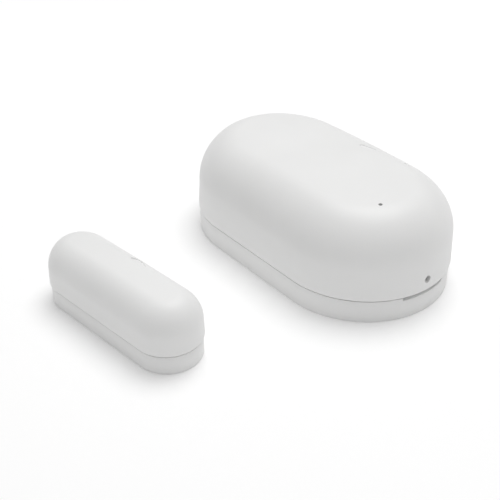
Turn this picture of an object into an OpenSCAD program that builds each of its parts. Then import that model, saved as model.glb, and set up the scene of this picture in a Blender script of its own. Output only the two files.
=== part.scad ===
// Wireless door contact sensor: a pill-shaped sensor unit and a smaller magnet unit.
// Origin: centre of the sensor's mounting face. +X runs along the sensor towards its
// release end, the magnet unit lies on the -Y side, and +Z points away from the wall.

/* [Sensor unit] */
// Overall length
sensor_l = 63.8; // [60:0.1:68]
// Overall width
sensor_w = 38; // [37:0.1:41]
// Overall height at the middle of the crowned top
sensor_h = 22.6; // [22:0.1:25]
// Height of the cover's lower edge above the mounting face
seam_z = 5.2; // [4.8:0.1:5.6]
// Radius of the rolled shoulder
shoulder_r = 9; // [8.8:0.1:9.4]
// Radius of the top's crown, across the unit
crown_r = 85; // [60:5:200]
// Wall thickness of the cover
cover_wall = 1.6; // [1.2:0.1:1.8]
// How much the cover's wall spreads from the shoulder down to its lower edge
wall_flare = 0.3; // [0.1:0.05:0.5]

/* [Magnet unit] */
// Overall length
magnet_l = 39.8; // [38:0.1:44]
// Overall width
magnet_w = 14; // [13.6:0.1:16]
// Overall height
magnet_h = 13.8; // [13.4:0.1:16]
// Height of the magnet cover's lower edge
magnet_seam_z = 4.3; // [4:0.1:4.6]
// Radius of its shoulder
magnet_shoulder_r = 5.4; // [4.5:0.1:5.6]
// Wall thickness of the magnet cover
magnet_wall = 1.2; // [1:0.1:1.4]
// Place of the magnet unit along X, from the sensor's centre
magnet_x = -2.6; // [-8:0.1:8]
// Place of the magnet unit along Y, from the sensor's centre
magnet_y = -49.1; // [-55:0.1:-45]
// Turn of the magnet unit about Z
magnet_turn = 6.7; // [0:0.1:10]

/* [Fits] */
// Visible gap between a cover's lower edge and the rim of its base
seam_gap = 0.3; // [0.2:0.05:0.5]
// How far the base's rim stands back from the cover's face
rim_inset = 0.25; // [0.1:0.05:0.5]
// Clearance between pieces fixed to the same body
fixed_gap = 0.05; // [0.02:0.01:0.1]
// Radial clearance round the two sprung plungers
plunger_gap = 0.08; // [0.05:0.01:0.1]

/* [Hidden] */
$fn = 96;

// Outlines: every horizontal section is a stadium of radius r about a spine of half-length "spine"
edge_r = sensor_w / 2;
spine = sensor_l / 2 - edge_r;
magnet_edge_r = magnet_w / 2;
magnet_spine = magnet_l / 2 - magnet_edge_r;
magnet_crown_r = 30;
magnet_flare = 0.1;

// Sensor base
rim_r = edge_r - rim_inset;
rim_top = seam_z - seam_gap;
floor_t = 2;
lip_t = 1.1;
lip_r = edge_r - cover_wall - 0.55;
lip_in_r = lip_r - lip_t;
lip_top = seam_z + 2.4;
pry_notch_w = 11.2;
pry_notch_h = 0.6;
pin_notch_w = 4.4;
boss_r = 2.2;
rest_r = 1.8;
rest_at = [[25, 0], [-1.8, 13.2]];
pad_r = 9.5;
pad_spine = 14;
pad_t = 0.8;
wall_hole_r = 1.75;
wall_hole_x = -spine;
wall_hole_y = 12.6;
wall_hole_sink_r = 2.9;

// Sensor cover: ribs over the cell, post over the tamper switch, engraved marks
cell_rib_x = [-15, -2];
cell_rib_t = 1.2;
cell_rib_w = 8;
cell_rib_gap = 0.4;
post_r = 1.3;
post_gap = 0.1;
post_l = 10.8;
groove_at = [3.3, 10.3];
groove_l = 3.4;
groove_w = 0.5;
groove_depth = 0.68;
groove_turn = 17;
groove_slope = -4;
dot_at = [13, 12.1];
dot_r = 0.4;
dot_z = 21.4;

// Battery: a 3 V lithium cell, 15.4 mm across and 27 mm long, lying along X
cell_r = 7.7;
cell_l = 27;
cell_x = -21;
cell_z = floor_t + 0.9 + cell_r;
nub_r = 3;
nub_l = 0.8;
holder_w = 18.8;
holder_x0 = cell_x - 4;
holder_x1 = cell_x + cell_l + 1.8;
holder_rail_z = 9.6;
holder_end_z = 15;
contact_t = 0.3;
contact_w = 10;
contact_z0 = 5;
contact_z1 = 15.5;
spring_x0 = cell_x - 2.6;

// Circuit board and what stands on it
board_z = 3.6;
board_t = 1.2;
board_top = board_z + board_t;
board_r = lip_in_r - 0.4;
board_x0 = 8.4;
arm_x0 = -6;
arm_y0 = 10.2;
seat = board_top + fixed_gap;
screw_a = [16.5, 12.4];
screw_b = [20, -10.5];
screw_head_r = 1.8;
screw_r = 0.95;
led_at = [21.7, -4.6];
reed_at = [4.6, 12.9];
reed_z = board_top + 1.6;
reed_glass_r = 1.1;
reed_glass_l = 14;
reed_lead_r = 0.3;
reed_reach = 9.2;
reed_cavity_r = 0.75;
reed_cavity_l = 10;
radio_low = [11, -1.5];
radio_high = [21, 10];
radio_t = 0.8;
shield_low = [11.5, -1];
shield_high = [20.5, 8.2];
shield_h = 1.95;
antenna_x = 23.4;
antenna_t = 0.4;
crystal_at = [11, -4.3];
crystal_r = 1;
crystal_l = 6;
chip_h = 0.55;
reset_z = 7.7;
reset_hole_r = 0.8;
reset_plunger_r = 1.2;
reset_x0 = 23.8;
reset_x1 = 27;
reset_reach = 28.2;
reset_travel = 0.25;
tamper_at = [14.5, -12];
tamper_plunger_r = 0.9;
tamper_top = 9.5;
tamper_body_top = 7.8;

// Light pipe
pipe_r = 1.2;
pipe_tip_r = 0.32;
pipe_hole_r = 0.4;
pipe_z0 = 6.6;
pipe_z1 = 20.2;
pipe_tip_z = 21.8;
pipe_flange_r = 2;
pipe_flange_z = 19.2;
pipe_flange_t = 0.6;

// Magnet unit
magnet_rim_r = magnet_edge_r - rim_inset;
magnet_rim_top = magnet_seam_z - seam_gap;
magnet_floor_t = 1.8;
magnet_lip_r = magnet_edge_r - magnet_wall - 0.4;
magnet_lip_in_r = magnet_lip_r - 0.9;
magnet_lip_top = magnet_seam_z + 1.8;
magnet_hole_x = 14.5;
magnet_hole_r = 1.5;
bar_l = 20;
bar_w = 6;
bar_h = 5;
bar_z = magnet_floor_t + fixed_gap;
fence_t = 1;
chevron_at = [0.9, 4.2];
chevron_z = 12.6;
chevron_l = 2.2;
chevron_w = 0.4;
chevron_turns = [-25, 211];
chevron_slope = 12;
magnet_pad_l = 23;
magnet_pad_w = 9;
magnet_pad_t = 0.6;
foam_l = 16;
foam_w = 4.8;
foam_t = 0.9;
foam_z = bar_z + bar_h + fixed_gap;

// A closed outline with two straight sides and two round ends
module stadium(r, s) {
    translate([-s, -r]) square([2 * s, 2 * r]);
    for (side = [-1, 1]) translate([side * s, 0]) circle(r = r);
}

module stadium_plate(r, s, z0, z1) {
    translate([0, 0, z0]) linear_extrude(z1 - z0) stadium(r, s);
}

module stadium_ring(r_out, r_in, s, z0, z1) {
    translate([0, 0, z0]) linear_extrude(z1 - z0) difference() {
        stadium(r_out, s);
        stadium(r_in, s);
    }
}

// Sweeps a half section, drawn in X >= 0, once round a stadium's spine
module swept(s) {
    translate([-s, 0, 0]) rotate([90, 0, 90]) linear_extrude(2 * s) {
        children();
        mirror([1, 0]) children();
    }
    for (side = [-1, 1])
        translate([side * s, 0, 0]) rotate([0, 0, -90 * side]) rotate_extrude(angle = 180)
            children();
}

// Half section of a moulded cover: flared wall, rolled shoulder and crowned top, all tangent
module cover_section(r_edge, flare, z_low, h, r_roll, r_crown) {
    a = r_edge - flare - r_roll;
    drop = sqrt(pow(r_crown - r_roll, 2) - a * a);
    zc = h - r_crown + drop;
    u = [a, drop] / (r_crown - r_roll);
    far = [a, zc] + 2 * r_roll * u;
    polygon([[0, z_low], [r_edge, z_low], [r_edge - flare, zc], [0, zc]]);
    intersection() {
        translate([a, zc]) circle(r = r_roll, $fn = 128);
        polygon([[a, zc], [a + 3 * r_roll, zc], [a + 3 * r_roll, zc + 3 * r_roll], far]);
    }
    intersection() {
        translate([0, h - r_crown]) circle(r = r_crown, $fn = 720);
        polygon([[0, zc], [a, zc], far, [0, far[1]]]);
    }
}

module cover_shell(s, r_edge, flare, z_low, h, r_roll, r_crown, wall) {
    difference() {
        swept(s) cover_section(r_edge, flare, z_low, h, r_roll, r_crown);
        swept(s) cover_section(r_edge - wall, flare, z_low - 1, h - wall,
            r_roll - wall, r_crown - wall);
    }
}

module box(low, high) {
    translate(low) cube(high - low);
}

// ---- Sensor unit ----

module sensor_base() {
    color("white") difference() {
        union() {
            stadium_plate(rim_r, spine, 0, floor_t);
            stadium_ring(rim_r, lip_in_r, spine, floor_t, rim_top);
            stadium_ring(lip_r, lip_in_r, spine, rim_top, lip_top);
            for (at = [screw_a, screw_b])
                translate([at[0], at[1], floor_t]) cylinder(r = boss_r, h = board_z - floor_t);
            for (at = rest_at)
                translate([at[0], at[1], floor_t]) cylinder(r = rest_r, h = board_z - floor_t);
        }
        stadium_plate(pad_r + 0.1, pad_spine, -1, pad_t);
        for (side = [-1, 1]) translate([wall_hole_x, side * wall_hole_y, -1]) {
            cylinder(r = wall_hole_r, h = floor_t + 2);
            translate([0, 0, floor_t + 0.4]) cylinder(r = wall_hole_sink_r, h = 1);
        }
        for (at = [screw_a, screw_b])
            translate([at[0], at[1], 1.2]) cylinder(r = screw_r + fixed_gap, h = board_z);
        // pry notch in the rim, and the way in for a release pin
        box([spine + lip_r - 6, -pry_notch_w / 2, rim_top - pry_notch_h],
            [spine + rim_r + 1, pry_notch_w / 2, rim_top + 0.01]);
        box([spine + lip_in_r - 1, -pin_notch_w / 2, rim_top + 0.6],
            [spine + lip_r + 0.5, pin_notch_w / 2, lip_top + 1]);
    }
}

module sensor_adhesive_pad() {
    color("whitesmoke") stadium_plate(pad_r, pad_spine, 0, pad_t - fixed_gap);
}

module sensor_cover() {
    color("white") difference() {
        union() {
            cover_shell(spine, edge_r, wall_flare, seam_z, sensor_h, shoulder_r, crown_r,
                cover_wall);
            // post that holds the tamper plunger down
            translate([tamper_at[0], tamper_at[1], tamper_top + post_gap])
                cylinder(r = post_r, h = post_l);
            // two ribs that keep the cell down
            for (x = cell_rib_x)
                box([x, -cell_rib_w / 2, cell_z + cell_r + cell_rib_gap],
                    [x + cell_rib_t, cell_rib_w / 2, sensor_h - 1.3]);
        }
        translate([led_at[0], led_at[1], 13]) cylinder(r = pipe_hole_r, h = 12);
        translate([spine + 12, 0, reset_z]) rotate([0, 90, 0]) cylinder(r = reset_hole_r, h = 12);
        // alignment mark on the reed switch's side
        translate([groove_at[0], groove_at[1], sensor_h - groove_depth])
            rotate([groove_slope, 0, groove_turn])
                box([-groove_l / 2, -groove_w / 2, 0], [groove_l / 2, groove_w / 2, 1]);
        translate([dot_at[0], dot_at[1], dot_z]) cylinder(r = dot_r, h = 2);
    }
}

module light_pipe() {
    color("ghostwhite") translate([led_at[0], led_at[1], 0]) {
        translate([0, 0, pipe_z0]) cylinder(r = pipe_r, h = pipe_z1 - pipe_z0);
        translate([0, 0, pipe_flange_z]) cylinder(r = pipe_flange_r, h = pipe_flange_t);
        translate([0, 0, pipe_z1]) cylinder(r = pipe_tip_r, h = pipe_tip_z - pipe_z1);
    }
}

module battery_holder() {
    color("dimgray") difference() {
        intersection() {
            union() {
                box([holder_x0, -holder_w / 2, floor_t + fixed_gap],
                    [holder_x1, holder_w / 2, holder_rail_z]);
                box([holder_x0, -6.5, holder_rail_z - 1], [holder_x0 + 1, 6.5, holder_end_z]);
                box([holder_x1 - 1.2, -6.5, holder_rail_z - 1], [holder_x1, 6.5, holder_end_z]);
            }
            stadium_plate(lip_in_r - 0.3, spine, 0, 20);
        }
        translate([holder_x0 + 1, 0, cell_z]) rotate([0, 90, 0])
            cylinder(r = cell_r + 0.15, h = holder_x1 - holder_x0 - 2.2);
        // way out for the positive tab
        box([holder_x1 - 1.3, -1.7, seat], [holder_x1 + 1, 1.7, holder_end_z + 1]);
    }
}

module battery_cell() {
    color("lightsteelblue") translate([cell_x, 0, cell_z]) rotate([0, 90, 0]) {
        cylinder(r = cell_r, h = cell_l - nub_l);
        translate([0, 0, cell_l - nub_l]) cylinder(r = nub_r, h = nub_l);
    }
}

// Coil spring of three turns that widens towards its plate, swept as one tube
module negative_spring() {
    wire_r = 0.28;
    turns = 3;
    steps = 54;
    sides = 8;
    reach = cell_x - fixed_gap - spring_x0 - 2 * wire_r - fixed_gap;
    rings = [for (i = [0:steps]) let (t = i / steps, a = 360 * turns * t, r = 4.4 - 2 * t)
        [for (j = [0:sides - 1]) let (b = 360 * j / sides)
            [spring_x0 + fixed_gap + wire_r + reach * t + wire_r * sin(b),
             (r + wire_r * cos(b)) * cos(a), cell_z + (r + wire_r * cos(b)) * sin(a)]]];
    points = [for (ring = rings) for (p = ring) p];
    walls = [for (i = [0:steps - 1]) for (j = [0:sides - 1]) let (k = (j + 1) % sides)
        [i * sides + j, i * sides + k, (i + 1) * sides + k, (i + 1) * sides + j]];
    near_cap = [for (j = [sides - 1:-1:0]) j];
    far_cap = [for (j = [0:sides - 1]) steps * sides + j];
    color("silver") polyhedron(points, concat(walls, [near_cap, far_cap]));
}

module negative_strip() {
    y0 = -holder_w / 2 - 0.5;
    y1 = y0 + contact_t;
    color("silver") {
        // plate behind the spring, its arm over the rail, and the strip along the holder
        box([spring_x0 - contact_t, -contact_w / 2, contact_z0],
            [spring_x0, contact_w / 2, contact_z1]);
        box([spring_x0 - contact_t, y0, 10], [spring_x0, 0, 13]);
        box([spring_x0 - contact_t, y0, 7], [spring_x0 + 3, y1, 13]);
        box([spring_x0 - contact_t, y0, 7], [10.6, y1, 9]);
        box([8.8, y0, seat], [10.6, y1, 9]);
        box([8.8, y0, seat], [10.6, y0 + 1.6, seat + contact_t]);
    }
}

module positive_contact() {
    x0 = cell_x + cell_l + fixed_gap;
    color("silver") {
        box([x0, -contact_w / 2, contact_z0], [x0 + contact_t, contact_w / 2, contact_z1]);
        box([x0, -1.4, seat + 0.2], [board_x0 + 0.9, 1.4, seat + 0.2 + contact_t]);
        box([board_x0 + 0.6, -1.4, seat], [board_x0 + 2, 1.4, seat + contact_t + 0.2]);
    }
}

module circuit_board() {
    color("darkgreen") translate([0, 0, board_z]) linear_extrude(board_t) difference() {
        intersection() {
            stadium(board_r, spine);
            union() {
                translate([board_x0, -20]) square([30, 40]);
                translate([arm_x0, arm_y0]) square([20, 10]);
            }
        }
        for (at = [screw_a, screw_b]) translate(at) circle(r = 1.1);
        for (side = [-1, 1]) translate([reed_at[0] + side * reed_reach, reed_at[1]])
            circle(r = reed_lead_r + fixed_gap);
    }
}

module radio_module() {
    color("darkslategray") translate([0, 0, seat]) linear_extrude(radio_t)
        translate(radio_low) square(radio_high - radio_low);
}

module radio_shield() {
    color("silver") translate([0, 0, seat + radio_t + fixed_gap]) linear_extrude(shield_h)
        translate(shield_low) square(shield_high - shield_low);
}

// Stamped inverted-F strip on three legs
module antenna() {
    color("silver") {
        box([antenna_x, 4.6, 8.4], [antenna_x + antenna_t, 10.6, 9.6]);
        for (y = [4.6, 6.4]) box([antenna_x, y, seat], [antenna_x + antenna_t, y + 0.8, 9]);
        box([antenna_x, 10, 6.4], [antenna_x + antenna_t, 10.6, 9]);
    }
}

module reed_glass() {
    color("palegreen") translate([reed_at[0], reed_at[1], reed_z]) rotate([0, 90, 0])
        difference() {
            translate([0, 0, -reed_glass_l / 2]) cylinder(r = reed_glass_r, h = reed_glass_l);
            translate([0, 0, -reed_glass_l / 2 - 1]) cylinder(r = reed_lead_r + fixed_gap,
                h = reed_glass_l + 2);
            translate([0, 0, -reed_cavity_l / 2]) cylinder(r = reed_cavity_r, h = reed_cavity_l);
        }
}

// The two leads with the overlapping blades inside the glass
module reed_leads() {
    color("silver") for (side = [-1, 1])
        translate([reed_at[0], reed_at[1], reed_z]) mirror([side < 0 ? 1 : 0, 0, 0]) {
            translate([4.5, 0, 0]) rotate([0, 90, 0])
                cylinder(r = reed_lead_r, h = reed_reach - 4.5);
            translate([-0.8, -0.3, side > 0 ? 0.06 : -0.2]) cube([5.6, 0.6, 0.14]);
            translate([reed_reach, 0, 0]) sphere(r = reed_lead_r);
            translate([reed_reach, 0, -2.9]) cylinder(r = reed_lead_r, h = 2.9);
        }
}

module quartz_crystal() {
    color("silver") translate([crystal_at[0], crystal_at[1], seat + crystal_r])
        rotate([0, 90, 0]) cylinder(r = crystal_r, h = crystal_l);
}

module storage_capacitor() {
    color("darkorange") box([11, -9.4, seat], [14.5, -6.6, seat + 1.9]);
}

// Small chip parts, laid out by hand: place and size of each
module surface_components() {
    chips = [[22.3, 1.6, 0.5, 1], [22.3, 3.6, 0.5, 1], [17.6, -6.4, 1, 0.5], [17.6, -8, 1, 0.5],
        [18.6, -4.2, 0.5, 1], [9.2, 4, 0.5, 1], [9.2, 6, 0.5, 1], [9.2, 8, 0.5, 1],
        [25.2, 6.5, 1, 0.5], [25.2, 5, 1, 0.5], [25.4, -5.6, 0.8, 1.6], [23, -8, 1.2, 0.6],
        [15.6, -2.6, 0.5, 0.25], [13, -2.6, 0.5, 0.25]];
    color("dimgray") for (c = chips)
        box([c[0] - c[2], c[1] - c[3] / 2, seat], [c[0] + c[2], c[1] + c[3] / 2, seat + chip_h]);
}

module status_led() {
    color("ivory") translate([led_at[0], led_at[1], 0]) {
        box([-1.6, -0.8, seat], [1.6, 0.8, seat + 0.5]);
        box([-1.1, -0.7, seat + 0.5], [1.1, 0.7, seat + 1.1]);
    }
}

module reset_switch_body() {
    color("black") difference() {
        box([reset_x0, -3.2, seat], [reset_x1, 3.2, 9.6]);
        translate([reset_x0 + 1.4, 0, reset_z]) rotate([0, 90, 0])
            cylinder(r = reset_plunger_r + plunger_gap, h = 4);
    }
}

module reset_plunger() {
    color("white") translate([reset_x0 + 1.4 + reset_travel + 0.2, 0, reset_z])
        rotate([0, 90, 0]) cylinder(r = reset_plunger_r, h = reset_reach - reset_x0 - 1.85);
}

module tamper_switch_body() {
    color("black") difference() {
        box([tamper_at[0] - 2, tamper_at[1] - 2, seat],
            [tamper_at[0] + 2, tamper_at[1] + 2, tamper_body_top]);
        translate([tamper_at[0], tamper_at[1], seat + 0.3])
            cylinder(r = tamper_plunger_r + plunger_gap, h = 5);
    }
}

module tamper_plunger() {
    color("white") translate([tamper_at[0], tamper_at[1], seat + 0.4])
        cylinder(r = tamper_plunger_r, h = tamper_top - seat - 0.4);
}

module board_screws() {
    color("silver") for (at = [screw_a, screw_b]) translate([at[0], at[1], 0]) difference() {
        union() {
            translate([0, 0, seat]) cylinder(r = screw_head_r, h = 1);
            translate([0, 0, 1.4]) cylinder(r = screw_r, h = seat - 1.3);
        }
        for (turn = [0, 90]) rotate([0, 0, turn])
            box([-1.1, -0.2, seat + 0.5], [1.1, 0.2, seat + 2]);
    }
}

// ---- Magnet unit ----

module place_magnet() {
    translate([magnet_x, magnet_y, 0]) rotate([0, 0, magnet_turn]) children();
}

module magnet_base() {
    color("white") place_magnet() difference() {
        union() {
            stadium_plate(magnet_rim_r, magnet_spine, 0, magnet_floor_t);
            stadium_ring(magnet_rim_r, magnet_lip_in_r, magnet_spine, magnet_floor_t,
                magnet_rim_top);
            stadium_ring(magnet_lip_r, magnet_lip_in_r, magnet_spine, magnet_rim_top,
                magnet_lip_top);
            // fences at the ends of the bar
            for (side = [-1, 1]) translate([side * (bar_l / 2 + 0.7), 0, 0])
                box([-fence_t / 2, -magnet_lip_in_r - 0.2, 1],
                    [fence_t / 2, magnet_lip_in_r + 0.2, 5]);
        }
        translate([0, 0, -1]) linear_extrude(magnet_pad_t + 1)
            square([magnet_pad_l + 0.2, magnet_pad_w + 0.2], center = true);
        for (side = [-1, 1]) translate([side * magnet_hole_x, 0, -1])
            cylinder(r = magnet_hole_r, h = magnet_floor_t + 2);
    }
}

module magnet_adhesive_pad() {
    color("whitesmoke") place_magnet() linear_extrude(magnet_pad_t - fixed_gap)
        square([magnet_pad_l, magnet_pad_w], center = true);
}

module magnet_cover() {
    color("white") place_magnet() difference() {
        union() {
            cover_shell(magnet_spine, magnet_edge_r, magnet_flare, magnet_seam_z, magnet_h,
                magnet_shoulder_r, magnet_crown_r, magnet_wall);
            // two ribs that press on the foam
            for (x = [-6, 5]) box([x, -foam_w / 2, foam_z + foam_t + 0.1],
                [x + 1, foam_w / 2, magnet_h - 0.9]);
        }
        // alignment mark on the shoulder that faces the sensor: a shallow chevron
        for (turn = chevron_turns) translate([chevron_at[0], chevron_at[1], chevron_z])
            rotate([0, -chevron_slope, turn])
                box([0, -chevron_w / 2, 0], [chevron_l, chevron_w / 2, 2]);
    }
}

module bar_magnet() {
    color("gray") place_magnet()
        box([-bar_l / 2, -bar_w / 2, bar_z], [bar_l / 2, bar_w / 2, bar_z + bar_h]);
}

module magnet_foam() {
    color("dimgray") place_magnet()
        box([-foam_l / 2, -foam_w / 2, foam_z], [foam_l / 2, foam_w / 2, foam_z + foam_t]);
}

sensor_base();
sensor_adhesive_pad();
sensor_cover();
light_pipe();
battery_holder();
battery_cell();
negative_spring();
negative_strip();
positive_contact();
circuit_board();
radio_module();
radio_shield();
antenna();
reed_glass();
reed_leads();
quartz_crystal();
storage_capacitor();
surface_components();
status_led();
reset_switch_body();
reset_plunger();
tamper_switch_body();
tamper_plunger();
board_screws();
magnet_base();
magnet_adhesive_pad();
magnet_cover();
bar_magnet();
magnet_foam();
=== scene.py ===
"""Looks of a pill-shaped door contact sensor and its magnet unit, laid out as a Blender add-on."""

import math

import bmesh
import bpy
from mathutils import Matrix, Vector


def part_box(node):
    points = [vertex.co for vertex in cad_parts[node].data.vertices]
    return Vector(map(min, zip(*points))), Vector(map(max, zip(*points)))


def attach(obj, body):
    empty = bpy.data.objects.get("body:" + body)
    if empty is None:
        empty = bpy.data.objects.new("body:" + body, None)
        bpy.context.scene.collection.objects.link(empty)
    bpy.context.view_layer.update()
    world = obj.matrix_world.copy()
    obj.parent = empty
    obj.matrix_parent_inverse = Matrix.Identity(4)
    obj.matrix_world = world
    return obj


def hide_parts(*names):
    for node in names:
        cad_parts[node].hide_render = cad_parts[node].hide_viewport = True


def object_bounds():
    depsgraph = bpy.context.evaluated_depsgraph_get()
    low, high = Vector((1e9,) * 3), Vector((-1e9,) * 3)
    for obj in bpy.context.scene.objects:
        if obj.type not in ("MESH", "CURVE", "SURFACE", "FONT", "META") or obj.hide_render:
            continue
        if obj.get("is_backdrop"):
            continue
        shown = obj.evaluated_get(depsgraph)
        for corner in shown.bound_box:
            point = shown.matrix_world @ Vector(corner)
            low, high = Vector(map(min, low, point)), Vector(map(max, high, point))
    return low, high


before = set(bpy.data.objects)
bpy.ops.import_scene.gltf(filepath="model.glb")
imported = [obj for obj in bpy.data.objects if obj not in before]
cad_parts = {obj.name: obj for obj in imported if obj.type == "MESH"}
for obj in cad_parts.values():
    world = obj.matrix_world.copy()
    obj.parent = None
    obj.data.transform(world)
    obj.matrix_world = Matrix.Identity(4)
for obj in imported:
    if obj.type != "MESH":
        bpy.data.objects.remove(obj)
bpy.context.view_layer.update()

bl_info = {
    "name": "Door contact sensor",
    "version": (1, 0, 0),
    "blender": (4, 5, 0),
    "location": "View3D > Sidebar > Contact Sensor",
    "description": "Builds the detailed pieces of a door contact sensor and its magnet unit",
    "category": "Object",
}

MM = 0.001
RIGHT_ANGLE = math.pi / 2
SENSOR = "sensor_base_unit"
SENSOR_COVER = "sensor_cover_unit"
MAGNET = "magnet_unit"
MAGNET_COVER = "magnet_cover_unit"
RESET = "reset_button"
TAMPER = "tamper_button"

# Turn of the magnet unit about Z
MAGNET_TURN = math.radians(6.7)


def middle(node):
    """The centre of a CAD node's box."""
    low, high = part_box(node)
    return (low + high) / 2


def size_of(node):
    """The three sides of a CAD node's box."""
    low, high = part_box(node)
    return high - low


def magnet_place():
    """The magnet unit's own frame: its centre on the mounting plane, turned about Z."""
    centre = middle("magnet_base")
    return Matrix.Translation((centre.x, centre.y, 0)) @ Matrix.Rotation(MAGNET_TURN, 4, "Z")


# ---------------------------------------------------------------------------
# Node trees
# ---------------------------------------------------------------------------

class Value:
    """A number in a node tree. Arithmetic on it adds Math nodes."""

    def __init__(self, graph, socket):
        self.graph = graph
        self.socket = socket

    def other(self, output):
        """Another output of the node that this value comes from."""
        return Value(self.graph, self.socket.node.outputs[output])

    def math(self, operation, *terms):
        return self.graph.math(operation, self, *terms)

    def __add__(self, term):
        return self.math("ADD", term)

    def __sub__(self, term):
        return self.math("SUBTRACT", term)

    def __rsub__(self, term):
        return self.graph.math("SUBTRACT", term, self)

    def __mul__(self, term):
        return self.math("MULTIPLY", term)

    def __rmul__(self, term):
        return self.graph.math("MULTIPLY", term, self)

    def __truediv__(self, term):
        return self.math("DIVIDE", term)

    def __rtruediv__(self, term):
        return self.graph.math("DIVIDE", term, self)

    def __pow__(self, term):
        return self.math("POWER", term)

    def __gt__(self, term):
        return self.math("GREATER_THAN", term)

    def __lt__(self, term):
        return self.math("LESS_THAN", term)

    def __abs__(self):
        return self.math("ABSOLUTE")

    def clamped(self):
        return self.graph.node("ShaderNodeClamp", {}, {0: self})


class Graph:
    """A shader or geometry tree, with one method that adds a node of any type."""

    def __init__(self, tree):
        self.tree = tree

    def node(self, kind, settings=None, inputs=None, output=0):
        """Adds a node, sets its settings first and then its sockets, and gives one output."""
        made = self.tree.nodes.new(kind)
        for name, setting in (settings or {}).items():
            setattr(made, name, setting)
        for key, given in (inputs or {}).items():
            if isinstance(given, Value):
                self.tree.links.new(given.socket, made.inputs[key])
            else:
                made.inputs[key].default_value = given
        return Value(self, made.outputs[output]) if made.outputs else made

    def math(self, operation, *terms):
        return self.node("ShaderNodeMath", {"operation": operation}, dict(enumerate(terms)))

    def mix(self, factor, first, second):
        """A colour between two colours."""
        return self.node("ShaderNodeMix", {"data_type": "RGBA"},
                         {0: factor, 6: first, 7: second}, output=2)

    def place(self, scale=(1, 1, 1), shift=(0, 0, 0)):
        """Object coordinates, stretched and shifted."""
        coordinates = self.node("ShaderNodeTexCoord", output="Object")
        return self.node("ShaderNodeMapping", {},
                         {"Vector": coordinates, "Scale": scale, "Location": shift})

    def noise(self, grain, detail=2.0, rough=0.5, where=None):
        """Noise whose features are about one grain across, in metres."""
        return self.node("ShaderNodeTexNoise", {},
                         {"Vector": where or self.place(), "Scale": 1 / grain,
                          "Detail": detail, "Roughness": rough})

    def cells(self, grain):
        """Distance to the nearest of scattered points about one grain apart, in metres."""
        return self.node("ShaderNodeTexVoronoi", {"feature": "F1"},
                         {"Vector": self.place(), "Scale": 1 / grain})

    def remap(self, value, low, high, to_low=0.0, to_high=1.0):
        """A value stretched from one range to another, and held inside it."""
        return self.node("ShaderNodeMapRange", {},
                         {0: value, 1: low, 2: high, 3: to_low, 4: to_high})

    def relief(self, height, depth):
        """A bump of that depth in metres where height goes from 0 to 1."""
        return self.node("ShaderNodeBump", {},
                         {"Height": height, "Distance": depth, "Strength": 1.0})

    def surface(self, **sockets):
        """The principled shader. Socket names are written with _ for a space."""
        return self.node("ShaderNodeBsdfPrincipled", {},
                         {name.replace("_", " "): given for name, given in sockets.items()})


def rgba(colour):
    """A colour with full alpha."""
    return (*colour[:3], 1.0)


def shade(colour, factor):
    """A colour made lighter or darker, the same in every channel."""
    return (*(min(1.0, channel * factor) for channel in colour[:3]), 1.0)


def material(name, build, *facts):
    """Makes a material once, with build(graph, *facts) giving its shader."""
    found = bpy.data.materials.get(name)
    if found:
        return found
    made = bpy.data.materials.new(name)
    made.use_nodes = True
    made.node_tree.nodes.clear()
    graph = Graph(made.node_tree)
    shader = build(graph, *facts)
    graph.node("ShaderNodeOutputMaterial", {}, {"Surface": shader})
    return made


# ---------------------------------------------------------------------------
# Finishes
# ---------------------------------------------------------------------------

def spark_textured(graph, colour, roughness, grain, depth):
    """Moulded plastic with the fine even texture of a spark-eroded mould."""
    flow = graph.noise(14 * MM, detail=3)
    sparks = graph.noise(grain, detail=3, rough=0.6)
    pits = graph.cells(2.2 * grain)
    height = sparks * 0.7 + pits * 0.3
    tint = graph.mix(graph.remap(flow, 0.3, 0.7), shade(colour, 0.985), shade(colour, 1.012))
    speck = graph.remap(sparks, 0.3, 0.42, 0.965, 1.0)
    tint = graph.node("ShaderNodeVectorMath", {"operation": "SCALE"}, {0: tint, "Scale": speck})
    rough = graph.remap(flow + 0.6 * sparks, 0.5, 1.1, roughness - 0.05, roughness + 0.05)
    return graph.surface(Base_Color=tint, Roughness=rough,
                         Normal=graph.relief(height, depth))


def satin_plastic(graph, colour, roughness):
    """Dark engineering plastic with moulding swirls and handling scuffs."""
    swirl = graph.noise(3.5 * MM, detail=4, where=graph.place((1, 1, 2.5)))
    grit = graph.noise(0.12 * MM, detail=2)
    scuffs = graph.remap(graph.noise(1.1 * MM, detail=6, rough=0.7), 0.56, 0.7)
    tint = graph.mix(swirl, shade(colour, 0.8), shade(colour, 1.35))
    tint = graph.mix(scuffs * 0.3, tint, shade(colour, 2.4))
    rough = graph.remap(swirl, 0.3, 0.7, roughness - 0.07, roughness + 0.09)
    return graph.surface(Base_Color=tint, Roughness=rough,
                         Normal=graph.relief(grit, 0.004 * MM))


def plated_metal(graph, colour, roughness, stretch):
    """Plated or tinned metal with rolling lines along one way and soft cloudy spots."""
    lines = graph.noise(0.16 * MM, detail=3, where=graph.place(stretch))
    cloud = graph.noise(2.4 * MM, detail=4)
    dull = graph.remap(cloud, 0.45, 0.75)
    tint = graph.mix(dull * 0.5 + lines * 0.3, shade(colour, 1.08), shade(colour, 0.78))
    rough = graph.remap(lines * 0.6 + cloud * 0.4, 0.3, 0.7, roughness - 0.08, roughness + 0.1)
    return graph.surface(Base_Color=tint, Metallic=1.0, Roughness=rough,
                         Normal=graph.relief(lines, 0.002 * MM))


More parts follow.
